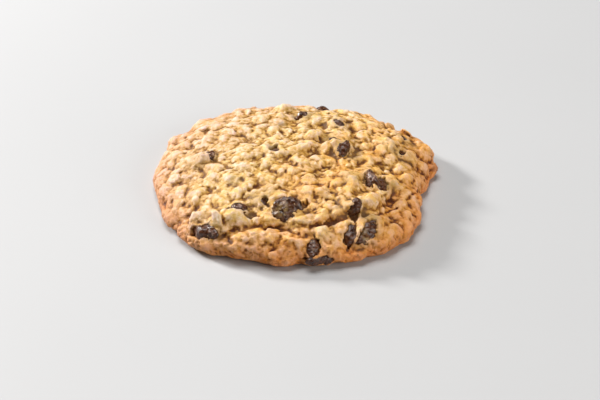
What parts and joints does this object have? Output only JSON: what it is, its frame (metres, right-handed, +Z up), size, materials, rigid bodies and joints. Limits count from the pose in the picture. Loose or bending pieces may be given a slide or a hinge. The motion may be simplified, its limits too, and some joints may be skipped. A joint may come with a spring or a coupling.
{
  "type": "oatmeal chocolate chip cookie",
  "caption": "Round domed oatmeal cookie with a lumpy golden top, rolled oats, a crease along its front and dark chocolate chips set in the dough.",
  "frame": {"origin": "centre of the footprint of the bounding box, on the plane of the flat baked base", "axes": "+X along the longest width, towards the browned nub at one end; +Y away from the creased front; +Z straight up, out of the domed top"},
  "size_m": [0.106, 0.0994, 0.0191],
  "materials": {
    "dough": "matt, crusty",
    "chocolate": "satin"
  },
  "bodies": {
    "root": {"cookie": "dough", "chip_01": "chocolate", "chip_02": "chocolate", "chip_03": "chocolate", "chip_04": "chocolate", "chip_05": "chocolate", "chip_06": "chocolate", "chip_07": "chocolate", "chip_08": "chocolate", "chip_09": "chocolate", "chip_10": "chocolate", "chip_11": "chocolate", "chip_12": "chocolate", "chip_13": "chocolate", "chip_14": "chocolate", "chip_15": "chocolate", "chip_16": "chocolate", "chip_17": "chocolate", "chip_18": "chocolate", "chip_19": "chocolate", "chip_20": "chocolate", "chip_21": "chocolate", "chip_22": "chocolate", "chip_23": "chocolate"}
  },
  "joints": []
}
